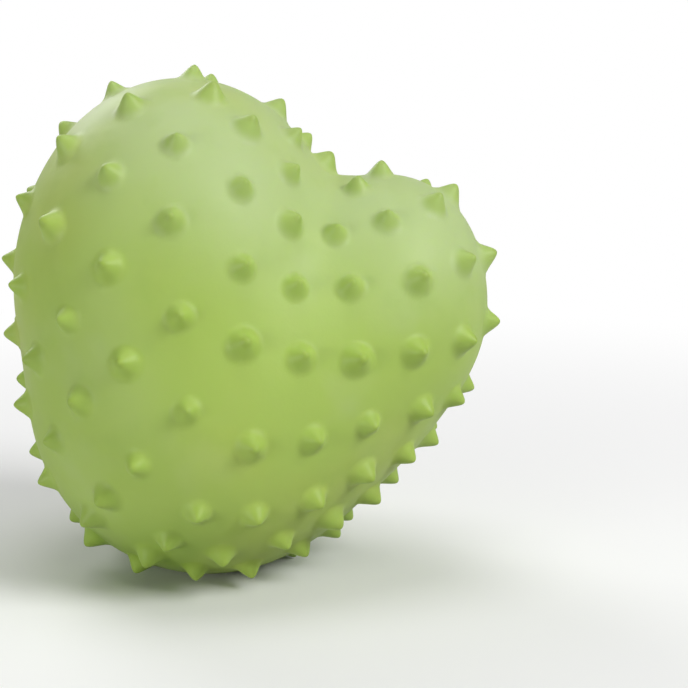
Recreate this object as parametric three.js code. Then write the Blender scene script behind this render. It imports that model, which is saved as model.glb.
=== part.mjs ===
// Soursop: one whole ripe fruit, heart shaped, with short soft spines in rows round its crown.
// Millimetres, +Z up, front towards -Y. The fruit rests on a small flat spot at z = 0.
import * as THREE from 'three';
import { ConvexHull } from 'three/addons/math/ConvexHull.js';

// ---------------------------------------------------------------------------
// Driving dimensions
// ---------------------------------------------------------------------------

// The flesh swells out in six round masses that run into one another: a tall lobe on the left,
// a lower one on the right with the stem hollow between them, and the heavy lower body.
const SWELLINGS = [
	{ place: 'left shoulder', x: - 8, z: 127, radius: 47 },
	{ place: 'left cheek', x: - 11, z: 103, radius: 56 },
	{ place: 'lower body', x: 0, z: 61, radius: 63 },
	{ place: 'right shoulder', x: 65, z: 112, radius: 27 },
	{ place: 'right cheek', x: 60, z: 92, radius: 38 },
	{ place: 'right flank', x: 37, z: 74, radius: 46 },
];
const SKIN_BLEND = 7; // how softly one mass runs into the next
const DEPTH_STRETCH = 1.1; // the masses are this much deeper, front to back, than they are wide
const CORE = new THREE.Vector3( 13, 0, 89 ); // a point inside that sees the whole skin
const INNER_REACH = 20; // the skin is farther than this from the core,
const OUTER_REACH = 140; // and nearer than this

// Spines: low blunt cones with a flared root, leaning a little towards the crown.
const SPINE_HEIGHT = 5.4;
const SPINE_ROOT_RADIUS = 5.8;
const SPINE_FLARE = 1.4; // 1 is a straight cone; more draws the flanks in above the root
const SPINE_BLUNTNESS = 0.42; // how round the tip is, as a share of the root radius
const SPINE_LEAN = 0.15; // sideways reach of the tip, as a share of the height
const SPINE_SIZE_SPREAD = 0.12; // each spine is up to this share larger or smaller
const SPINE_WANDER = 1.2; // degrees that a spine stands off its place in the row
const SMALLEST_SPINE = 0.7; // one with less room than this above the floor is left out
const SPINE_ROOM = 14; // no spine grows nearer than this to another
const SPINE_SIDES = 8;
const SPINE_WAIST = { at: 0.42, sides: 6 }; // a ring between root and tip, as a share of the root radius
const SPINE_SEED = 7;

// The rows circle the crown axis, which leans to the right, and are evenly far apart. Polar angles
// are from that axis and azimuths are from the fruit's front towards its right, in degrees.
const CROWN_LEAN = 15;
const ROWS = 10;
const FIRST_ROW = 11.5;
const ROW_SPACING = 15.8;
const WIDEST_ROW = 20; // spines in a row round the middle
const ROW_CROWDING = 0.6; // at 1 small rows are as open as wide ones; less crowds their spines
const SIDE_CROWDING = 0.15; // spines stand closer by this share on the right, and wider on the left
const STAGGER_FROM = - 40; // at this azimuth each row stands half a step round from the one above
const FIRST_TURN = 0.85; // from there to the first row's first spine, in steps of that row

// Rows hang lower in front, most of all round the middle: how far, where, and how wide the sag is.
const SAG = { depth: 25, polar: 108, polarSpread: 44, azimuth: 12, azimuthSpread: 44 };

// Stem scar: a small round dish in the hollow between the shoulders, where the stalk came away.
const SCAR_PLACE = { lean: 36, back: 14 }; // degrees to the right and to the back of straight up
const SCAR_RADIUS = 5;
const SCAR_DEPTH = 1.6;
const SCAR_LIP = 0.5;
const SCAR_DISH = 0.65; // the dish is level out to this share of the radius,
const SCAR_SKIRT = 1.6; // and the lip runs out into the skin at this share of it
const SCAR_SIDES = 12;
const SCAR_CLEARANCE = 12; // no spine stands nearer than this to the scar

// The flat spot that the fruit has settled on.
const FLOOR_SEARCH_RADIUS = 40; // the flat spot ends nearer to the middle than this
const FLOOR_SIDES = 28;
const FLOOR_CLEARANCE = 0.5; // spine tips stay this far above the floor

const SKIN_POINTS = 1150; // plain skin between the spines
const SKIN_POINT_GAP = 3.2; // the nearest that a plain point comes to a spine's root

const SKIN_COLOUR = 0xa5c35c;

// ---------------------------------------------------------------------------
// Skin
// ---------------------------------------------------------------------------

// Below zero inside the fruit, zero on its skin and above zero outside.
function skinField( point ) {

	const depths = SWELLINGS.map( ( { x, z, radius } ) =>
		Math.hypot( point.x - x, point.y / DEPTH_STRETCH, point.z - z ) - radius );
	const nearest = Math.min( ...depths );
	const share = depths.reduce( ( sum, depth ) => sum + Math.exp( ( nearest - depth ) / SKIN_BLEND ), 0 );
	return nearest - SKIN_BLEND * Math.log( share );

}

// Halves the span from inside to outside until it closes on the skin.
function findSkin( pointAt, inside, outside ) {

	for ( let halving = 0; halving < 40; halving ++ ) {

		const middle = ( inside + outside ) / 2;
		if ( skinField( pointAt( middle ) ) < 0 ) inside = middle;
		else outside = middle;

	}

	return pointAt( inside );

}

function skinTowards( direction ) {

	const pointAt = ( reach ) => CORE.clone().addScaledVector( direction, reach );
	return findSkin( pointAt, INNER_REACH, OUTER_REACH );

}

function directionOf( point ) {

	return point.clone().sub( CORE ).normalize();

}

function skinNormal( point ) {

	const step = 0.01;
	const slopeAlong = ( axis ) => {

		const ahead = skinField( point.clone().addScaledVector( axis, step ) );
		const behind = skinField( point.clone().addScaledVector( axis, - step ) );
		return ahead - behind;

	};

	return new THREE.Vector3(
		slopeAlong( new THREE.Vector3( 1, 0, 0 ) ),
		slopeAlong( new THREE.Vector3( 0, 1, 0 ) ),
		slopeAlong( new THREE.Vector3( 0, 0, 1 ) ),
	).normalize();

}

// A round patch of skin: its centre, the skin's normal there, and two directions across it.
function skinPatch( centre ) {

	const normal = skinNormal( centre );
	const across = new THREE.Vector3( 1, 0, 0 ).cross( normal ).normalize();
	return { centre, normal, across, along: normal.clone().cross( across ) };

}

// Points evenly round a patch at one radius, each brought back to the skin.
function ringOnSkin( patch, radius, sides, turn = 0 ) {

	return Array.from( { length: sides }, ( _, side ) => {

		const angle = turn + side * 2 * Math.PI / sides;
		const flat = patch.centre.clone()
			.addScaledVector( patch.across, radius * Math.cos( angle ) )
			.addScaledVector( patch.along, radius * Math.sin( angle ) );
		return skinTowards( directionOf( flat ) );

	} );

}

// ---------------------------------------------------------------------------
// Spines
// ---------------------------------------------------------------------------

// Even draws from -1 to 1, the same on every run.
function makeDraws( seed ) {

	let state = seed;
	return () => {

		state = ( state * 48271 ) % 2147483647;
		return 2 * state / 2147483647 - 1;

	};

}

function crownDirection( polarDegrees, azimuthDegrees ) {

	const lean = THREE.MathUtils.degToRad( CROWN_LEAN );
	const polar = THREE.MathUtils.degToRad( polarDegrees );
	const azimuth = THREE.MathUtils.degToRad( azimuthDegrees );
	const crown = new THREE.Vector3( Math.sin( lean ), 0, Math.cos( lean ) );
	const front = new THREE.Vector3( 0, - 1, 0 );
	const right = new THREE.Vector3().crossVectors( crown, front );
	return crown.multiplyScalar( Math.cos( polar ) )
		.addScaledVector( front, Math.sin( polar ) * Math.cos( azimuth ) )
		.addScaledVector( right, Math.sin( polar ) * Math.sin( azimuth ) );

}

// How much lower a row hangs here than an even ring would, in degrees.
function rowSag( polar, azimuth ) {

	const down = ( polar - SAG.polar ) / SAG.polarSpread;
	const around = ( azimuth - SAG.azimuth ) / SAG.azimuthSpread;
	return SAG.depth * Math.exp( - ( down ** 2 ) - around ** 2 );

}

// Turns an even place round a row into the real one, nearer to its neighbours on the right.
function spineAzimuth( turn ) {

	const even = THREE.MathUtils.euclideanModulo( turn + 180, 360 ) - 180;
	const pull = THREE.MathUtils.radToDeg( SIDE_CROWDING ) * Math.cos( THREE.MathUtils.degToRad( even ) );
	return even + pull;

}

// The skin's normal, leant towards the crown: a tip rises by its height along this.
function spineAxis( { normal } ) {

	const crown = crownDirection( 0, 0 );
	const crownward = crown.addScaledVector( normal, - crown.dot( normal ) ).normalize();
	return normal.clone().addScaledVector( crownward, SPINE_LEAN );

}

// Where each spine stands and how large it has grown.
function plantSpines( scarCentre ) {

	const draw = makeDraws( SPINE_SEED );
	const spines = [];
	for ( let row = 0; row < ROWS; row ++ ) {

		const polar = FIRST_ROW + row * ROW_SPACING;
		const girth = Math.sin( THREE.MathUtils.degToRad( polar ) ); // as a share of the widest row's
		const count = Math.round( WIDEST_ROW * girth ** ROW_CROWDING );
		for ( let place = 0; place < count; place ++ ) {

			const azimuth = spineAzimuth( STAGGER_FROM + ( place + FIRST_TURN + row / 2 ) * 360 / count );
			const wanderAcross = SPINE_WANDER * draw() / girth;
			const wanderDown = SPINE_WANDER * draw();
			const size = 1 + SPINE_SIZE_SPREAD * draw();
			const sagging = polar + rowSag( polar, azimuth );
			const direction = crownDirection( sagging + wanderDown, azimuth + wanderAcross );
			const patch = skinPatch( skinTowards( direction ) );
			const room = ( patch.centre.z - FLOOR_CLEARANCE ) / SPINE_HEIGHT;
			const grown = patch.normal.z < 0 ? Math.min( size, - room / patch.normal.z ) : size;
			const nearScar = patch.centre.distanceTo( scarCentre ) < SCAR_CLEARANCE;
			const crowded = spines.some( ( other ) =>
				patch.centre.distanceTo( other.patch.centre ) < SPINE_ROOM );
			if ( grown > SMALLEST_SPINE && ! nearScar && ! crowded )
				spines.push( {
					patch,
					axis: spineAxis( patch ),
					height: SPINE_HEIGHT * grown,
					radius: SPINE_ROOT_RADIUS * grown,
				} );

		}

	}

	return spines;

}

// The height of a spine's flank, as a share of its full height, at a share of its root radius.
function spineProfile( share ) {

	const blunted = Math.hypot( share, SPINE_BLUNTNESS ) - SPINE_BLUNTNESS;
	const bluntedRoot = Math.hypot( 1, SPINE_BLUNTNESS ) - SPINE_BLUNTNESS;
	return ( 1 - blunted / bluntedRoot ) ** SPINE_FLARE;

}

// ---------------------------------------------------------------------------
// Points of the surface: where each one looks from the core, and where it ends up
// ---------------------------------------------------------------------------

function surfacePoint( onSkin, axis = new THREE.Vector3(), rise = 0 ) {

	return { direction: directionOf( onSkin ), position: onSkin.clone().addScaledVector( axis, rise ) };

}

function spinePoints( { patch, axis, height, radius } ) {

	const waist = ringOnSkin( patch, radius * SPINE_WAIST.at, SPINE_WAIST.sides );
	const root = ringOnSkin( patch, radius, SPINE_SIDES, Math.PI / SPINE_SIDES );
	return [
		surfacePoint( patch.centre, axis, height ),
		...waist.map( ( point ) => surfacePoint( point, axis, height * spineProfile( SPINE_WAIST.at ) ) ),
		...root.map( ( point ) => surfacePoint( point ) ),
	];

}

function scarPoints( patch ) {

	const rings = [
		{ radius: SCAR_RADIUS * SCAR_DISH, rise: - SCAR_DEPTH },
		{ radius: SCAR_RADIUS, rise: SCAR_LIP },
		{ radius: SCAR_RADIUS * SCAR_SKIRT, rise: 0 },
	];
	const ringPoints = rings.flatMap( ( { radius, rise } ) =>
		ringOnSkin( patch, radius, SCAR_SIDES ).map( ( point ) => surfacePoint( point, patch.normal, rise ) ) );
	return [ surfacePoint( patch.centre, patch.normal, - SCAR_DEPTH ), ...ringPoints ];

}

// The flat spot: its centre, and the edge where the skin meets the floor.
function floorPoints() {

	const edge = Array.from( { length: FLOOR_SIDES }, ( _, side ) => {

		const angle = side * 2 * Math.PI / FLOOR_SIDES;
		const pointAt = ( radius ) =>
			new THREE.Vector3( radius * Math.cos( angle ), radius * Math.sin( angle ), 0 );
		return findSkin( pointAt, 0, FLOOR_SEARCH_RADIUS );

	} );
	return [ new THREE.Vector3(), ...edge ].map( ( point ) => surfacePoint( point ) );

}

// Plain skin, spread evenly on a spiral and kept clear of everything that stands on it.
function plainPoints( spines, scarPatch, floor ) {

	const goldenAngle = Math.PI * ( 3 - Math.sqrt( 5 ) );
	const keepOut = [
		...spines.map( ( { patch, radius } ) => ( { centre: patch.centre, radius: radius + SKIN_POINT_GAP } ) ),
		...floor.map( ( { position } ) => ( { centre: position, radius: SKIN_POINT_GAP } ) ),
		{ centre: scarPatch.centre, radius: SCAR_RADIUS * SCAR_SKIRT + SKIN_POINT_GAP },
	];
	const points = [];
	for ( let index = 0; index < SKIN_POINTS; index ++ ) {

		const z = 1 - ( 2 * index + 1 ) / SKIN_POINTS;
		const level = Math.sqrt( 1 - z * z );
		const angle = index * goldenAngle;
		const direction = new THREE.Vector3( level * Math.cos( angle ), level * Math.sin( angle ), z );
		const onSkin = skinTowards( direction );
		const clear = keepOut.every( ( { centre, radius } ) => onSkin.distanceTo( centre ) > radius );
		if ( onSkin.z > 0 && clear ) points.push( surfacePoint( onSkin ) );

	}

	return points;

}

// ---------------------------------------------------------------------------
// The fruit
// ---------------------------------------------------------------------------

// Points seen from the core are joined as neighbours on a ball are, then stand at their real places.
function closedSurface( points ) {

	const corners = new Map( points.map( ( point ) => [ point.direction, point.position ] ) );
	const positions = [];
	for ( const face of new ConvexHull().setFromPoints( [ ...corners.keys() ] ).faces ) {

		let edge = face.edge;
		do {

			positions.push( ...corners.get( edge.head().point ).toArray() );
			edge = edge.next;

		} while ( edge !== face.edge );

	}

	const geometry = new THREE.BufferGeometry();
	geometry.setAttribute( 'position', new THREE.Float32BufferAttribute( positions, 3 ) );
	geometry.computeVertexNormals();
	return geometry;

}

function makeFruit() {

	const lean = Math.tan( THREE.MathUtils.degToRad( SCAR_PLACE.lean ) );
	const back = Math.tan( THREE.MathUtils.degToRad( SCAR_PLACE.back ) );
	const scarPatch = skinPatch( skinTowards( new THREE.Vector3( lean, back, 1 ).normalize() ) );
	const spines = plantSpines( scarPatch.centre );
	const floor = floorPoints();
	const geometry = closedSurface( [
		...floor,
		...scarPoints( scarPatch ),
		...spines.flatMap( spinePoints ),
		...plainPoints( spines, scarPatch, floor ),
	] );
	const skin = new THREE.MeshStandardMaterial( { color: SKIN_COLOUR, roughness: 0.6, metalness: 0 } );
	const fruit = new THREE.Mesh( geometry, skin );
	fruit.name = 'fruit';
	return fruit;

}

const soursop = new THREE.Group();
soursop.name = 'soursop';
soursop.add( makeFruit() );

export default soursop;
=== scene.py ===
"""Soursop: one whole ripe fruit with its spines, seen on a pale floor in soft studio light.

Lengths are millimetres where a class says so and metres elsewhere, +Z is up and the fruit's front
faces -Y. The skin is one closed surface: a smooth union of six swellings, raised into blunt spines
that stand in rows round the crown.
"""
import logging
import math
from dataclasses import dataclass, field
from enum import Enum
from typing import Iterator

import bpy
import numpy as np
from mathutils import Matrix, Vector


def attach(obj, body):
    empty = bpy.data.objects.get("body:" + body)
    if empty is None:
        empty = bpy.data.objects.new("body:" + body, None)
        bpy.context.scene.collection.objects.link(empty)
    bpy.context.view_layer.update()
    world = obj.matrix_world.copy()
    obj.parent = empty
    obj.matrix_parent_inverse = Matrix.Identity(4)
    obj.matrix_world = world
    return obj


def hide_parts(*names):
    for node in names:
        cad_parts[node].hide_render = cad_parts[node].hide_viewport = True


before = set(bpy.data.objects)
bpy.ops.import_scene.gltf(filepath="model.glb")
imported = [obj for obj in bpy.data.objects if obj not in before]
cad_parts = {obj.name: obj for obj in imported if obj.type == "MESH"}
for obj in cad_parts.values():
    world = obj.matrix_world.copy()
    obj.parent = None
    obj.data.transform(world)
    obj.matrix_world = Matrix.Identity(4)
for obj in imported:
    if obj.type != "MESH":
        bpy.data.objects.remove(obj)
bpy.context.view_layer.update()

MM = 0.001
LEHMER_FACTOR = 48271
LEHMER_MODULUS = 2 ** 31 - 1
MERGE_DIGITS = 6

Colour = tuple[float, float, float]
Triple = tuple[float, float, float]
Span = tuple[float, float]

# Paler green, laid as a painted highlight on the upper right side and also in random patches.
PALE_GREEN: Colour = (0.44, 0.56, 0.24)

log = logging.getLogger("soursop")


# ---------------------------------------------------------------------------
# Small shared tools
# ---------------------------------------------------------------------------

def unit(vectors: np.ndarray) -> np.ndarray:
    """Scales each row vector to length 1.

    Args:
        vectors: Array of vectors, one a row.

    Returns:
        The same directions with length 1.
    """
    return vectors / np.linalg.norm(vectors, axis=-1, keepdims=True)


def even_draws(seed: int) -> Iterator[float]:
    """Yields even draws from -1 to 1, the same on every run.

    Args:
        seed: Where the run of draws starts.

    Returns:
        An endless run of draws, each a Lehmer step x -> 48271 x mod (2^31 - 1), scaled.
    """
    state = seed
    while True:
        state = state * LEHMER_FACTOR % LEHMER_MODULUS
        yield 2 * state / LEHMER_MODULUS - 1


def mesh_object(name: str, points: np.ndarray, faces: np.ndarray) -> bpy.types.Object:
    """Puts points and four sided faces into a smooth shaded mesh object.

    Args:
        name: The object's name.
        points: The points, one a row, in metres.
        faces: The faces' corners, one face a row, by number of point.

    Returns:
        The object, at the origin and in the scene.
    """
    mesh = bpy.data.meshes.new(name)
    mesh.from_pydata(points.tolist(), [], faces.tolist())
    mesh.polygons.foreach_set("use_smooth", np.ones(len(faces), dtype=bool))
    mesh.update()
    made = bpy.data.objects.new(name, mesh)
    bpy.context.scene.collection.objects.link(made)
    return made


class Side(Enum):
    """The six sides of a cube round the core, each as its outward, first and second axes."""

    RIGHT = ((1, 0, 0), (0, 1, 0), (0, 0, 1))
    LEFT = ((-1, 0, 0), (0, 0, 1), (0, 1, 0))
    BACK = ((0, 1, 0), (0, 0, 1), (1, 0, 0))
    FRONT = ((0, -1, 0), (1, 0, 0), (0, 0, 1))
    TOP = ((0, 0, 1), (1, 0, 0), (0, 1, 0))
    BOTTOM = ((0, 0, -1), (0, 1, 0), (1, 0, 0))


# ---------------------------------------------------------------------------
# Skin
# ---------------------------------------------------------------------------

@dataclass(frozen=True)
class Swelling:
    """One of the round masses that the flesh swells out in, in millimetres.

    Attributes:
        place: Where on the fruit it is.
        x: Its middle, left to right.
        z: Its middle, above the floor.
        radius: Its radius.
    """

    place: str
    x: float
    z: float
    radius: float


@dataclass(frozen=True)
class FruitForm:
    """The fruit's form without its spines, in millimetres.

    Attributes:
        swellings: The round masses of the fruit.
        blend: How softly one mass runs into the next.
        depth_stretch: How much deeper, front to back, the masses are than they are wide.
        core: A point inside that sees the whole skin.
        reach: Nearest and farthest that the skin comes to the core.
        halvings: How often that span is halved to find the skin.
        slope_step: Half the distance that the skin's slope is measured over.
    """

    swellings: tuple[Swelling, ...] = (
        Swelling("left shoulder", -8, 127, 47),
        Swelling("left cheek", -11, 103, 56),
        Swelling("lower body", 0, 61, 63),
        Swelling("right shoulder", 65, 112, 27),
        Swelling("right cheek", 60, 92, 38),
        Swelling("right flank", 37, 74, 46),
    )
    blend: float = 7.0
    depth_stretch: float = 1.1
    core: Triple = (13.0, 0.0, 89.0)
    reach: Span = (20.0, 140.0)
    halvings: int = 26
    slope_step: float = 0.01

    def depth(self, points: np.ndarray) -> np.ndarray:
        """Measures how far points are outside the skin.

        The distances to the stretched balls are joined by a soft minimum,
        -blend * log(sum(exp(-distance / blend))).

        Args:
            points: Points, one a row.

        Returns:
            Below zero inside the fruit, zero on its skin and above zero outside.
        """
        middles = np.array([(s.x, 0.0, s.z) for s in self.swellings])
        radii = np.array([s.radius for s in self.swellings])
        squeezed = points / np.array([1.0, self.depth_stretch, 1.0])
        apart = np.linalg.norm(squeezed[:, None, :] - middles[None], axis=2) - radii
        nearest = apart.min(axis=1)
        share = np.exp((nearest[:, None] - apart) / self.blend).sum(axis=1)
        return nearest - self.blend * np.log(share)

    def towards(self, directions: np.ndarray) -> np.ndarray:
        """Finds the skin along rays from the core, by halving the span that holds it.

        Args:
            directions: Ray directions of length 1, one a row.

        Returns:
            The skin's points on the rays.
        """
        core = np.array(self.core)
        inside = np.full(len(directions), self.reach[0])
        outside = np.full(len(directions), self.reach[1])
        for _ in range(self.halvings):
            middle = (inside + outside) / 2
            within = self.depth(core + directions * middle[:, None]) < 0
            inside = np.where(within, middle, inside)
            outside = np.where(within, outside, middle)
        return core + directions * inside[:, None]

    def seen_from_core(self, points: np.ndarray) -> np.ndarray:
        """Gives the directions in which the core sees points."""
        return unit(points - np.array(self.core))

    def normals(self, points: np.ndarray) -> np.ndarray:
        """Gives the skin's outward normals, as central differences of its depth.

        Args:
            points: Points of the skin, one a row.

        Returns:
            The normals, one a row.
        """
        steps = self.slope_step * np.eye(3)
        slopes = [self.depth(points + step) - self.depth(points - step) for step in steps]
        return unit(np.stack(slopes, axis=1))


# ---------------------------------------------------------------------------
# Spines
# ---------------------------------------------------------------------------

@dataclass(frozen=True)
class Sag:
    """How the rows hang lower in front, most of all round the middle, in degrees.

    Attributes:
        depth: How much lower a row hangs where the sag is deepest.
        polar: Angle from the crown axis of the deepest place.
        polar_spread: How wide the sag is that way.
        azimuth: Angle of the deepest place from the front towards the right.
        azimuth_spread: How wide the sag is that way.
    """

    depth: float = 25.0
    polar: float = 108.0
    polar_spread: float = 44.0
    azimuth: float = 12.0
    azimuth_spread: float = 44.0

    def at(self, polar: np.ndarray, azimuth: np.ndarray) -> np.ndarray:
        """Gives how much lower a row hangs than an even ring would.

        A bell, depth * exp(-down^2 - around^2), of the angles from its deepest place as shares
        of its spreads.

        Args:
            polar: Angles from the crown axis, in degrees.
            azimuth: Angles from the front towards the right, in degrees.

        Returns:
            The sag, in degrees.
        """
        down = (polar - self.polar) / self.polar_spread
        around = (azimuth - self.azimuth) / self.azimuth_spread
        return self.depth * np.exp(-(down ** 2) - around ** 2)


@dataclass(frozen=True)
class Spines:
    """The spines that stand on the skin, as arrays with one entry a spine, in millimetres.

    Attributes:
        roots: Points of the skin under the spines.
        normals: The skin's normals there.
        axes: The ways that the tips rise, per unit of height.
        heights: Their heights.
        radii: Radii of their flared roots.
        bluntness: How round the tips are, as shares of the root radii.
    """

    roots: np.ndarray
    normals: np.ndarray
    axes: np.ndarray
    heights: np.ndarray
    radii: np.ndarray
    bluntness: np.ndarray

    def nearest_to(self, points: np.ndarray) -> np.ndarray:
        """Gives each point's nearest spine, by the distance to its root.

        Args:
            points: Points, one a row.

        Returns:
            The spines' numbers.
        """
        apart = ((points[:, None, :] - self.roots[None]) ** 2).sum(axis=2)
        return apart.argmin(axis=1)

    def off_axis(self, points: np.ndarray, nearest: np.ndarray) -> np.ndarray:
        """Gives the way to each point from its nearest spine's axis, square to the axis.

        Args:
            points: Points, one a row.
            nearest: Each point's nearest spine, by number.

        Returns:
            The offsets, one a row.
        """
        offset = points - self.roots[nearest]
        normal = self.normals[nearest]
        return offset - (offset * normal).sum(axis=1, keepdims=True) * normal


@dataclass(frozen=True)
class SpinePlan:
    """The rule that the spines stand by: even rows round a crown axis that leans to the right.

    Attributes:
        crown_lean: Lean of the crown axis, in degrees.
        rows: How many rows there are.
        first_row: Angle of the first row from the crown axis, in degrees.
        row_spacing: Angle from each row to the next, in degrees.
        widest_row: Spines in a row round the middle.
        crowding: At 1 small rows are as open as wide ones; less crowds their spines.
        side_crowding: Spines stand closer by this share on the right, and wider on the left.
        stagger_from: Azimuth at which each row stands half a step round from the one above.
        first_turn: From there to the first row's first spine, in steps of that row.
        sag: How the rows hang lower in front.
        height: Height of a full spine, in millimetres.
        root_radius: Radius of its flared root, in millimetres.
        flare: 1 is a straight cone; more draws the flanks in above the root.
        bluntness: Mean roundness of the tips, as a share of the root radius.
        bluntness_spread: How much that differs from spine to spine.
        lean: Sideways reach of a tip towards the crown, as a share of its height.
        size_spread: Share by which spines differ in size.
        wander: Degrees that a spine stands off its place.
        smallest: A spine with less room than this share above the floor is left out.
        room: No spine grows nearer than this to another, in millimetres.
        floor_gap: Height that the tips keep above the floor, in millimetres.
        seed: Seed of the draws.
    """

    crown_lean: float = 15.0
    rows: int = 10
    first_row: float = 11.5
    row_spacing: float = 15.8
    widest_row: int = 20
    crowding: float = 0.6
    side_crowding: float = 0.15
    stagger_from: float = -40.0
    first_turn: float = 0.85
    sag: Sag = Sag()
    height: float = 5.4
    root_radius: float = 5.8
    flare: float = 1.4
    bluntness: float = 0.42
    bluntness_spread: float = 0.12
    lean: float = 0.15
    size_spread: float = 0.12
    wander: float = 1.2
    smallest: float = 0.7
    room: float = 14.0
    floor_gap: float = 0.5
    seed: int = 7

    def crown(self) -> np.ndarray:
        """Gives the crown axis."""
        lean = math.radians(self.crown_lean)
        return np.array([math.sin(lean), 0.0, math.cos(lean)])

    def direction(self, polar: np.ndarray, azimuth: np.ndarray) -> np.ndarray:
        """Turns angles round the crown axis into directions.

        Each is cos(polar) along the crown and sin(polar) along the way square to it that the
        azimuth turns to.

        Args:
            polar: Angles from the crown axis, in degrees.
            azimuth: Angles from the front towards the right, in degrees.

        Returns:
            Directions of length 1, one a row.
        """
        crown = self.crown()
        front = np.array([0.0, -1.0, 0.0])
        right = np.cross(crown, front)
        down, around = np.radians(polar)[:, None], np.radians(azimuth)[:, None]
        level = np.cos(around) * front + np.sin(around) * right
        return np.cos(down) * crown + np.sin(down) * level

    def around(self, turn: np.ndarray) -> np.ndarray:
        """Turns even places round a row into the real ones, nearer together on the right.

        Each is pulled towards the right by side_crowding * cos(place), in radians.

        Args:
            turn: Even places, from the front towards the right, in degrees.

        Returns:
            The azimuths, in degrees.
        """
        even = (turn + 180) % 360 - 180
        return even + np.degrees(self.side_crowding) * np.cos(np.radians(even))

    def plant(self, form: FruitForm, scar_centre: np.ndarray, scar_clearance: float) -> Spines:
        """Works out where each spine stands and how large it has grown.

        Rows are evenly far apart. A row holds widest_row * sin(polar) ** crowding spines and
        stands half a step round from the one above.

        Args:
            form: The fruit's form.
            scar_centre: Middle of the stem scar.
            scar_clearance: The nearest that a spine stands to it.

        Returns:
            The spines that have room to grow.
        """
        ring = self.first_row + np.arange(self.rows) * self.row_spacing
        counts = np.rint(self.widest_row * np.sin(np.radians(ring)) ** self.crowding).astype(int)
        row = np.repeat(np.arange(self.rows), counts)
        place = np.arange(counts.sum()) - np.repeat(np.cumsum(counts) - counts, counts)
        polar = ring[row]
        steps = place + self.first_turn + row / 2
        azimuth = self.around(self.stagger_from + steps * 360 / counts[row])
        draws = even_draws(self.seed)
        across, down, growth = np.array([[next(draws) for _ in range(3)] for _ in polar]).T
        aside = self.wander * across / np.sin(np.radians(polar))
        sagging = polar + self.sag.at(polar, azimuth)
        directions = self.direction(sagging + self.wander * down, azimuth + aside)
        roots = form.towards(directions)
        normals = form.normals(roots)
        size = 1 + self.size_spread * growth
        # On skin that overhangs, a spine grows only as far as keeps its tip above the floor.
        room = (roots[:, 2] - self.floor_gap) / self.height
        hangs = normals[:, 2] < 0
        grown = np.where(hangs, np.minimum(size, -room / np.where(hangs, normals[:, 2], -1)), size)
        from_scar = np.linalg.norm(roots - scar_centre, axis=1)
        kept = (grown > self.smallest) & (from_scar >= scar_clearance)
        # A spine gives way to those before it.
        for spine in np.flatnonzero(kept):
            others = roots[:spine][kept[:spine]]
            kept[spine] = not (np.linalg.norm(others - roots[spine], axis=1) < self.room).any()
        crownward = unit(self.crown() - (normals @ self.crown())[:, None] * normals)
        blunt_draws = even_draws(self.seed + 1)
        blunt = self.bluntness + self.bluntness_spread * np.array([next(blunt_draws) for _ in polar])
        return Spines(
            roots=roots[kept],
            normals=normals[kept],
            axes=(normals + self.lean * crownward)[kept],
            heights=self.height * grown[kept],
            radii=self.root_radius * grown[kept],
            bluntness=blunt[kept],
        )

    def profile(self, share: np.ndarray, bluntness: np.ndarray) -> np.ndarray:
        """Gives the height of a spine's flank as a share of its full height.

        A cone drawn in by a power above its root, (1 - s) ** flare, whose distance s from the
        axis is first rounded near zero, as a hyperbola is.

        Args:
            share: Distances from the axis, as shares of the root radius.
            bluntness: Roundness of the tips.

        Returns:
            1 at the tip, and 0 at the root and beyond.
        """
        blunted = np.hypot(share, bluntness) - bluntness
        blunted_root = np.hypot(1, bluntness) - bluntness
        return np.clip(1 - blunted / blunted_root, 0, 1) ** self.flare


@dataclass(frozen=True)
class StemScar:
    """The small round dish that the stalk left, in the hollow between the shoulders.

    Attributes:
        lean: Degrees to the right of straight up, seen from the core.
        back: Degrees to the back of straight up.
        radius: Radius of its lip, in millimetres.
        depth: Depth of the dish, in millimetres.
        wall: Where the dish's wall starts and ends, as shares of its radius.
        lip: Rise of the lip, in millimetres.
        lip_place: Where the lip is highest, as a share of the radius.
        lip_width: How wide the lip is, as a share of the radius.
        reach: How far out its relief goes, as a share of the radius.
        clearance: No spine stands nearer than this, in millimetres.
    """

    lean: float = 36.0
    back: float = 14.0
    radius: float = 5.0
    depth: float = 1.6
    wall: Span = (0.6, 0.95)
    lip: float = 0.5
    lip_place: float = 1.05
    lip_width: float = 0.28
    reach: float = 3.0
    clearance: float = 12.0

    def centre(self, form: FruitForm) -> np.ndarray:
        """Finds the middle of the scar on the skin."""
        lean, back = math.tan(math.radians(self.lean)), math.tan(math.radians(self.back))
        return form.towards(unit(np.array([[lean, back, 1.0]])))[0]

    def rise(self, share: np.ndarray) -> np.ndarray:
        """Gives the scar's relief in millimetres.

        A flat dish whose wall is a smooth step up, and a bell shaped lip round it.

        Args:
            share: Distances from its middle, as shares of its radius.

        Returns:
            How far the skin stands out, below zero in the dish.
        """
        foot, brim = self.wall
        edge = np.clip((share - foot) / (brim - foot), 0, 1)
        dish = -self.depth * (1 - edge * edge * (3 - 2 * edge))
        lip = self.lip * np.exp(-(((share - self.lip_place) / self.lip_width) ** 2))
        return np.where(share < self.reach, dish + lip, 0)


# ---------------------------------------------------------------------------
# Finishes
# ---------------------------------------------------------------------------

@dataclass(frozen=True)
class Mottle:
    """One layer of soft patches in the skin's colour.

    Attributes:
        colour: The patches' colour.
        swings: Swings of its noise in a metre.
        detail: How many finer noises are added.
        span: Values of the noise where a patch starts and is full.
        share: How strongly a full patch shows.
    """

    colour: Colour
    swings: float
    detail: float
    span: Span
    share: float


@dataclass(frozen=True)
class Relief:
    """One layer of fine relief in the skin.

    Attributes:
        swings: Swings of its noise in a metre.
        detail: How many finer noises are added.
        grain: How strongly those show.
        strength: How strongly the relief shows.
        height: Its height, in millimetres.
    """

    swings: float
    detail: float
    grain: float
    strength: float
    height: float


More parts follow.
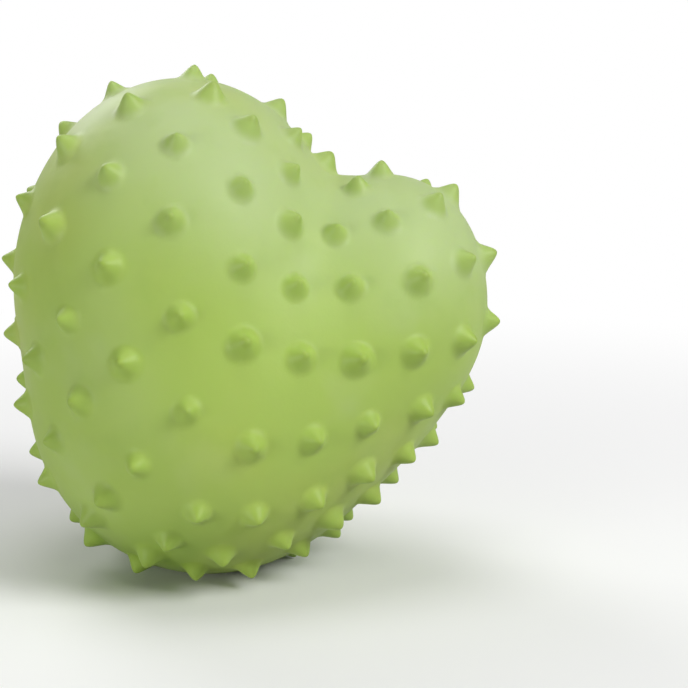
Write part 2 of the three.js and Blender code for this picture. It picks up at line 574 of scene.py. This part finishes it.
@dataclass(frozen=True)
class NodeBoard:
    """A material's node tree, with the few nodes that the finishes are made from.

    Attributes:
        tree: The node tree.
        place: Each point's place in the object.
    """

    tree: bpy.types.NodeTree
    place: bpy.types.NodeSocket

    @staticmethod
    def start(name: str) -> tuple[bpy.types.Material, "NodeBoard"]:
        """Makes a material with nodes.

        Args:
            name: The material's name.

        Returns:
            The material and its board.
        """
        material = bpy.data.materials.new(name)
        material.use_nodes = True
        place = material.node_tree.nodes.new("ShaderNodeTexCoord").outputs["Object"]
        return material, NodeBoard(material.node_tree, place)

    def attribute(self, name: str) -> bpy.types.NodeSocket:
        """Reads a number that the mesh carries.

        Args:
            name: The attribute's name.

        Returns:
            Its value.
        """
        node = self.tree.nodes.new("ShaderNodeAttribute")
        node.attribute_name = name
        return node.outputs["Fac"]

    def noise(self, swings: float, detail: float, grain: float = 0.5) -> bpy.types.NodeSocket:
        """Adds a soft noise in the object's own space.

        Args:
            swings: Swings in a metre.
            detail: How many finer noises are added.
            grain: How strongly those show.

        Returns:
            The noise, from 0 to 1.
        """
        node = self.tree.nodes.new("ShaderNodeTexNoise")
        node.inputs["Scale"].default_value = swings
        node.inputs["Detail"].default_value = detail
        node.inputs["Roughness"].default_value = grain
        self.tree.links.new(self.place, node.inputs["Vector"])
        return node.outputs["Fac"]

    def spread(self, value: bpy.types.NodeSocket, span: Span, top: float,
               bottom: float = 0.0) -> bpy.types.NodeSocket:
        """Maps a value to a smooth step.

        Args:
            value: The value.
            span: Where the step starts and ends.
            top: What it ends at.
            bottom: What it starts from.

        Returns:
            The step.
        """
        node = self.tree.nodes.new("ShaderNodeMapRange")
        node.interpolation_type = "SMOOTHSTEP"
        node.inputs["From Min"].default_value, node.inputs["From Max"].default_value = span
        node.inputs["To Min"].default_value = bottom
        node.inputs["To Max"].default_value = top
        self.tree.links.new(value, node.inputs["Value"])
        return node.outputs["Result"]

    def tint(self, below: bpy.types.NodeSocket | Colour, above: Colour,
             share: bpy.types.NodeSocket) -> bpy.types.NodeSocket:
        """Lays a colour over what is below.

        Args:
            below: The colour below.
            above: The colour laid over it.
            share: How much of it shows.

        Returns:
            The mixed colour.
        """
        node = self.tree.nodes.new("ShaderNodeMix")
        node.data_type = "RGBA"
        if isinstance(below, tuple):
            node.inputs["A"].default_value = (*below, 1.0)
        else:
            self.tree.links.new(below, node.inputs["A"])
        node.inputs["B"].default_value = (*above, 1.0)
        self.tree.links.new(share, node.inputs["Factor"])
        return node.outputs["Result"]

    def bump(self, relief: Relief, below: bpy.types.NodeSocket | None = None) -> bpy.types.NodeSocket:
        """Adds a layer of relief.

        Args:
            relief: The layer.
            below: The normal of the layer before it, if there is one.

        Returns:
            The normal with the relief in it.
        """
        node = self.tree.nodes.new("ShaderNodeBump")
        node.inputs["Strength"].default_value = relief.strength
        node.inputs["Distance"].default_value = relief.height * MM
        height = self.noise(relief.swings, relief.detail, relief.grain)
        self.tree.links.new(height, node.inputs["Height"])
        if below is not None:
            self.tree.links.new(below, node.inputs["Normal"])
        return node.outputs["Normal"]


@dataclass(frozen=True)
class SkinFinish:
    """Matte green fruit skin with a soft waxy bloom, a painted highlight and painted shade.

    Attributes:
        name: The material's name.
        fresh: Green of the middle of the fruit.
        pale: Paler green of its upper right side, a painted highlight.
        deep: Deeper green of its base, a painted shade.
        highlight_side: The way that the side with the painted highlight faces.
        highlight_reach: How far that way the painted highlight starts and is full, in millimetres.
        shade_heights: Heights where the base's painted shade is full and where it has ended, in
            millimetres.
        mottling: Patches of bloomed, riper and darker skin, in the order that they are laid.
        spine: Green of the spines, which show less of the painted highlight and the pale patches.
        spine_span: Shares of a spine's height where its green starts and is full.
        spine_share: How strongly it shows.
        tip: Drier tips of the spines.
        tip_span: Shares of a spine's height where they start and are full.
        tip_share: How strongly they show.
        scar: Cork of the stem scar.
        scar_span: Values of the mesh's scar share where the cork starts and is full.
        roughness: Roughness of the skin.
        spine_roughness: Roughness of the spines, which are smoother.
        gloss_span: Shares of a spine's height where the skin's roughness ends and its own is full.
        specular: Strength of the highlights.
        sheen: Strength of the bloom.
        sheen_roughness: How widely the bloom spreads light.
        scatter_share: Share of the light that goes into the flesh.
        scatter_colour: How far red, green and blue light goes, as shares of its depth.
        scatter_depth: How deep that is, in millimetres.
        fine: Relief of the pores.
        broad: Relief of the soft dents.
    """

    name: str = "soursop_skin"
    fresh: Colour = (0.38, 0.53, 0.10)
    # Painted highlight: the upper right side is laid in a paler green.
    pale: Colour = PALE_GREEN
    # Painted shade: the base is laid in a darker green.
    deep: Colour = (0.20, 0.34, 0.02)
    highlight_side: Triple = (0.28, 0.0, 0.96)
    highlight_reach: Span = (95.0, 155.0)
    shade_heights: Span = (2.0, 40.0)
    mottling: tuple[Mottle, ...] = (
        Mottle(colour=PALE_GREEN, swings=30.0, detail=2.0, span=(0.50, 0.75), share=0.30),
        Mottle(colour=(0.45, 0.55, 0.10), swings=14.0, detail=2.0, span=(0.45, 0.75), share=0.60),
        Mottle(colour=(0.30, 0.45, 0.08), swings=55.0, detail=3.0, span=(0.50, 0.80), share=0.30),
    )
    spine: Colour = (0.35, 0.50, 0.08)
    spine_span: Span = (0.0, 0.45)
    spine_share: float = 0.60
    tip: Colour = (0.25, 0.35, 0.04)
    tip_span: Span = (0.70, 1.0)
    tip_share: float = 0.30
    scar: Colour = (0.15, 0.08, 0.04)
    scar_span: Span = (0.3, 0.8)
    roughness: float = 0.52
    spine_roughness: float = 0.47
    gloss_span: Span = (0.0, 0.4)
    specular: float = 0.35
    sheen: float = 0.06
    sheen_roughness: float = 0.6
    scatter_share: float = 0.25
    scatter_colour: Triple = (0.7, 1.0, 0.25)
    scatter_depth: float = 2.0
    fine: Relief = Relief(swings=900.0, detail=4.0, grain=0.6, strength=0.12, height=0.25)
    broad: Relief = Relief(swings=70.0, detail=2.0, grain=0.5, strength=0.25, height=1.2)

    def make(self) -> bpy.types.Material:
        """Builds the node tree: ground colours, mottling, spines, scar, gloss and relief.

        Returns:
            The finished material.
        """
        material, board = NodeBoard.start(self.name)
        links, shader = board.tree.links, board.tree.nodes["Principled BSDF"]
        shader.inputs["Sheen Weight"].default_value = self.sheen
        shader.inputs["Sheen Roughness"].default_value = self.sheen_roughness
        shader.inputs["Subsurface Weight"].default_value = self.scatter_share
        shader.inputs["Subsurface Radius"].default_value = self.scatter_colour
        shader.inputs["Subsurface Scale"].default_value = self.scatter_depth * MM
        shader.inputs["Specular IOR Level"].default_value = self.specular
        rise = board.attribute("spine_rise")
        colour = self.ground(board)
        for layer in self.mottling:
            patch = board.spread(board.noise(layer.swings, layer.detail), layer.span, layer.share)
            colour = board.tint(colour, layer.colour, patch)
        colour = board.tint(colour, self.spine, board.spread(rise, self.spine_span, self.spine_share))
        colour = board.tint(colour, self.tip, board.spread(rise, self.tip_span, self.tip_share))
        cork = board.spread(board.attribute("scar_share"), self.scar_span, 1.0)
        links.new(board.tint(colour, self.scar, cork), shader.inputs["Base Color"])
        gloss = board.spread(rise, self.gloss_span, self.spine_roughness, self.roughness)
        links.new(gloss, shader.inputs["Roughness"])
        links.new(board.bump(self.broad, board.bump(self.fine)), shader.inputs["Normal"])
        return material

    def ground(self, board: NodeBoard) -> bpy.types.NodeSocket:
        """Lays painted shade at the base, the fresh green, and a painted highlight on the upper right
        side.

        Args:
            board: The node board.

        Returns:
            The colour under the mottling.
        """
        apart = board.tree.nodes.new("ShaderNodeSeparateXYZ")
        board.tree.links.new(board.place, apart.inputs["Vector"])
        sideways = board.tree.nodes.new("ShaderNodeVectorMath")
        sideways.operation = "DOT_PRODUCT"
        sideways.inputs[1].default_value = self.highlight_side
        board.tree.links.new(board.place, sideways.inputs[0])
        heights = tuple(height * MM for height in self.shade_heights)
        reach = tuple(distance * MM for distance in self.highlight_reach)
        # Painted shade: the darker green at the base.
        colour = board.tint(self.deep, self.fresh, board.spread(apart.outputs["Z"], heights, 1.0))
        # Painted highlight: the paler green on the upper right side.
        return board.tint(colour, self.pale, board.spread(sideways.outputs["Value"], reach, 1.0))


@dataclass(frozen=True)
class FloorFinish:
    """Plain pale floor that fades into the white all round, so that no horizon shows.

    It sends less light up than it shows, so that the fruit's underside stays deep in tone.

    Attributes:
        name: The material's name.
        colour: Its colour as the camera sees it.
        bounce: The grey that lights the fruit from below.
        roughness: Its roughness.
        specular: Strength of its highlights.
        fade: Distances from the fruit where it starts and ends to fade, in metres.
    """

    name: str = "pale_floor"
    colour: Colour = (0.90, 0.90, 0.90)
    bounce: Colour = (0.60, 0.60, 0.60)
    roughness: float = 0.9
    specular: float = 0.1
    fade: Span = (0.08, 0.62)

    def make(self) -> bpy.types.Material:
        """Builds the floor's material, a matte surface mixed into plain white by distance.

        Returns:
            The finished material.
        """
        material, board = NodeBoard.start(self.name)
        nodes, links = board.tree.nodes, board.tree.links
        seen = nodes.new("ShaderNodeLightPath").outputs["Is Camera Ray"]
        matte = nodes["Principled BSDF"]
        matte.inputs["Roughness"].default_value = self.roughness
        matte.inputs["Specular IOR Level"].default_value = self.specular
        links.new(board.tint(self.bounce, self.colour, seen), matte.inputs["Base Color"])
        white = nodes.new("ShaderNodeEmission")
        distance = nodes.new("ShaderNodeVectorMath")
        distance.operation = "LENGTH"
        links.new(board.place, distance.inputs[0])
        share = board.spread(distance.outputs["Value"], self.fade, 1.0)
        links.new(seen, share.node.inputs["To Max"])
        both = nodes.new("ShaderNodeMixShader")
        links.new(share, both.inputs["Fac"])
        links.new(matte.outputs["BSDF"], both.inputs[1])
        links.new(white.outputs["Emission"], both.inputs[2])
        links.new(both.outputs["Shader"], nodes["Material Output"].inputs["Surface"])
        return material


# ---------------------------------------------------------------------------
# The fruit
# ---------------------------------------------------------------------------

@dataclass
class Fruit:
    """The whole fruit: its form, spines, stem scar and skin.

    Attributes:
        form: The fruit's form without spines.
        plan: The rule that the spines stand by.
        scar: The stem scar.
        finish: The skin's finish.
        cells: Grid cells along each edge of the cube that the skin's grid is drawn on.
        gather: How strongly grid lines are drawn in towards a spine's axis; 1 leaves them.
        gather_reach: How far out from the axis they are drawn in, in root radii.
        nearest_moved: Points nearer to an axis than this stay where they are, in millimetres.
        floor_softness: How softly the skin turns into the flat spot, in millimetres.
        scar_edge: Where the mesh's scar share falls to zero, in radii of the scar.
    """

    form: FruitForm = field(default_factory=FruitForm)
    plan: SpinePlan = field(default_factory=SpinePlan)
    scar: StemScar = field(default_factory=StemScar)
    finish: SkinFinish = field(default_factory=SkinFinish)
    cells: int = 126
    gather: float = 1.6
    gather_reach: float = 1.5
    nearest_moved: float = 1e-6
    floor_softness: float = 0.3
    scar_edge: float = 1.25

    def grid(self) -> tuple[np.ndarray, np.ndarray]:
        """Draws an even grid on a cube round the core.

        On each side the two grid angles run from -45 to 45 degrees, and their tangents are
        steps along the side's axes. Points on shared edges are merged.

        Returns:
            Directions from the core, and the corners of the four sided faces.
        """
        steps = np.tan(np.linspace(-math.pi / 4, math.pi / 4, self.cells + 1))
        first, second = np.meshgrid(steps, steps, indexing="ij")
        sides = [
            unit(
                np.array(side.value[0], float)
                + first[..., None] * np.array(side.value[1], float)
                + second[..., None] * np.array(side.value[2], float)
            ).reshape(-1, 3)
            for side in Side
        ]
        row = self.cells + 1
        index = np.arange(row * row).reshape(row, row)
        corners = [index[:-1, :-1], index[1:, :-1], index[1:, 1:], index[:-1, 1:]]
        side_faces = np.stack(corners, axis=-1).reshape(-1, 4)
        faces = np.concatenate([side_faces + number * row * row for number in range(len(sides))])
        points = np.concatenate(sides)
        rounded = np.round(points, MERGE_DIGITS)
        _, kept, renumbered = np.unique(rounded, axis=0, return_index=True, return_inverse=True)
        return points[kept], renumbered.reshape(-1)[faces]

    def gathered(self, skin: np.ndarray, spines: Spines, nearest: np.ndarray) -> np.ndarray:
        """Draws the grid in towards the spines' axes, so that the tips have enough points.

        A point at distance d inside the reach R goes to R * (d / R) ** gather, and back to the
        skin along its ray.

        Args:
            skin: Points of the skin.
            spines: The spines.
            nearest: Each point's nearest spine, by number.

        Returns:
            The points of the skin after it.
        """
        flat = spines.off_axis(skin, nearest)
        distance = np.linalg.norm(flat, axis=1)
        reach = self.gather_reach * spines.radii[nearest]
        moved = (distance < reach) & (distance > self.nearest_moved)
        share = np.where(moved, distance / reach, 1.0)
        drawn_in = skin - flat * (1 - share ** (self.gather - 1))[:, None]
        result = skin.copy()
        result[moved] = self.form.towards(self.form.seen_from_core(drawn_in[moved]))
        return result

    def build(self) -> bpy.types.Object:
        """Builds the fruit as one closed mesh and dresses it.

        The skin rises along each spine's axis by the spine's profile and is dished at the scar.
        The floor presses it flat: a height z becomes softness * log(1 + exp(z / softness)).

        Returns:
            The fruit, at the origin with its place in its mesh.
        """
        directions, faces = self.grid()
        scar_centre = self.scar.centre(self.form)
        spines = self.plan.plant(self.form, scar_centre, self.scar.clearance)
        skin = self.form.towards(directions)
        skin = self.gathered(skin, spines, spines.nearest_to(skin))

        nearest = spines.nearest_to(skin)
        flat = spines.off_axis(skin, nearest)
        share = np.linalg.norm(flat, axis=1) / spines.radii[nearest]
        rise = self.plan.profile(share, spines.bluntness[nearest])
        points = skin + spines.axes[nearest] * (rise * spines.heights[nearest])[:, None]

        scar_share = np.linalg.norm(skin - scar_centre, axis=1) / self.scar.radius
        scar_normal = self.form.normals(scar_centre[None])[0]
        points += scar_normal * self.scar.rise(scar_share)[:, None]
        points[:, 2] = self.floor_softness * np.logaddexp(0, points[:, 2] / self.floor_softness)

        fruit = mesh_object("soursop_fruit", points * MM, faces)
        self.carry(fruit, "spine_rise", rise * spines.heights[nearest] / self.plan.height)
        self.carry(fruit, "scar_share", np.clip(self.scar_edge - scar_share, 0, 1))
        fruit.data.materials.append(self.finish.make())
        log.info("fruit: %d spines, %d faces", len(spines.heights), len(faces))
        return fruit

    @staticmethod
    def carry(piece: bpy.types.Object, name: str, values: np.ndarray) -> None:
        """Stores one number for each of a mesh's points, for its material to read.

        Args:
            piece: The mesh object.
            name: The attribute's name.
            values: The numbers, in the points' order.
        """
        layer = piece.data.attributes.new(name, "FLOAT", "POINT")
        layer.data.foreach_set("value", values.astype(np.float32))

    def declare(self, fruit: bpy.types.Object) -> None:
        """Tells the frame what the fruit rides on and which part it stands for.

        Args:
            fruit: The finished fruit.
        """
        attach(fruit, "root")
        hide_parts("fruit")


# ---------------------------------------------------------------------------
# Studio
# ---------------------------------------------------------------------------

@dataclass(frozen=True)
class Softbox:
    """A large soft lamp that shines at the fruit.

    Attributes:
        name: Its name.
        place: Where it hangs, in metres.
        size: Its width, in metres.
        share: Its power, as a share of the key lamp's.
    """

    name: str
    place: Triple
    size: float
    share: float

    def hang(self, target: Vector, key_watts: float) -> None:
        """Adds the lamp, facing the target and unseen by the camera.

        Args:
            target: The point that it faces.
            key_watts: Power of the key lamp.
        """
        lamp = bpy.data.lights.new(self.name, "AREA")
        lamp.shape = "DISK"
        lamp.size = self.size
        lamp.energy = self.share * key_watts
        made = bpy.data.objects.new(self.name, lamp)
        made.location = self.place
        made.rotation_euler = (target - Vector(self.place)).to_track_quat("-Z", "Y").to_euler()
        made.visible_camera = False
        bpy.context.scene.collection.objects.link(made)


@dataclass
class Studio:
    """Pale floor, soft lamps, white surroundings and the camera.

    Attributes:
        floor_size: Width of the floor, in metres.
        floor_finish: The floor's finish.
        surroundings: Light that the white all round sheds.
        backdrop: Brightness of the white as the camera sees it.
        aim: The point that the camera looks at, in metres.
        distance: How far the camera stands from it, in metres.
        elevation: How far the camera looks down, in degrees.
        lens: Focal length of the camera, in millimetres.
        sensor: Width of the camera's sensor, in millimetres.
        sight: How far the camera sees, in metres.
        key_watts: Power of the key lamp.
        lamps: The lamps.
    """

    floor_size: float = 60.0
    floor_finish: FloorFinish = field(default_factory=FloorFinish)
    surroundings: float = 0.15
    backdrop: float = 1.0
    aim: Triple = (0.0486, 0.0, 0.0802)
    distance: float = 0.585
    elevation: float = 10.0
    lens: float = 85.0
    sensor: float = 36.0
    sight: float = 200.0
    key_watts: float = 15.0
    lamps: tuple[Softbox, ...] = (
        Softbox("key", (1.00, -0.60, 0.90), 0.70, 1),
        Softbox("fill", (-0.80, -0.80, 0.10), 0.50, 2 / 5),
        Softbox("top", (0.0, 0.0, 1.30), 0.70, 1 / 4),
        Softbox("rim", (-0.60, 0.90, 0.80), 0.70, 2 / 5),
    )

    def lay_floor(self) -> None:
        """Lays the floor under the fruit, as a level square at height zero."""
        half = self.floor_size / 2
        corners = half * np.array([(-1, -1, 0), (1, -1, 0), (1, 1, 0), (-1, 1, 0)], float)
        floor = mesh_object("floor", corners, np.array([[0, 1, 2, 3]]))
        floor.data.materials.append(self.floor_finish.make())

    def light(self) -> None:
        """Sets the white surroundings and hangs the lamps."""
        world = bpy.data.worlds.new("white_studio")
        bpy.context.scene.world = world
        world.use_nodes = True
        nodes, links = world.node_tree.nodes, world.node_tree.links
        shed = nodes["Background"]
        seen = nodes.new("ShaderNodeBackground")
        for white, strength in ((shed, self.surroundings), (seen, self.backdrop)):
            white.inputs["Color"].default_value = (1.0, 1.0, 1.0, 1.0)
            white.inputs["Strength"].default_value = strength
        both = nodes.new("ShaderNodeMixShader")
        links.new(nodes.new("ShaderNodeLightPath").outputs["Is Camera Ray"], both.inputs["Fac"])
        links.new(shed.outputs["Background"], both.inputs[1])
        links.new(seen.outputs["Background"], both.inputs[2])
        links.new(both.outputs["Shader"], nodes["World Output"].inputs["Surface"])
        target = Vector(self.aim)
        for lamp in self.lamps:
            lamp.hang(target, self.key_watts)
        bpy.context.scene.view_settings.view_transform = "Standard"

    def set_camera(self) -> None:
        """Stands the camera in front of the fruit, looking slightly down."""
        lens = bpy.data.cameras.new("camera")
        lens.lens = self.lens
        lens.sensor_width = self.sensor
        lens.clip_end = self.sight
        camera = bpy.data.objects.new("camera", lens)
        down = math.radians(self.elevation)
        aim = Vector(self.aim)
        camera.location = aim + self.distance * Vector((0.0, -math.cos(down), math.sin(down)))
        camera.rotation_euler = (aim - camera.location).to_track_quat("-Z", "Y").to_euler()
        bpy.context.scene.collection.objects.link(camera)
        bpy.context.scene.camera = camera


def main() -> None:
    """Builds the fruit and the studio in order."""
    logging.basicConfig(level=logging.INFO, format="%(name)s: %(message)s")
    fruit = Fruit()
    fruit.declare(fruit.build())
    studio = Studio()
    studio.lay_floor()
    studio.light()
    studio.set_camera()
    log.info("studio: %d lamps", len(studio.lamps))


if __name__ == "__main__":
    main()
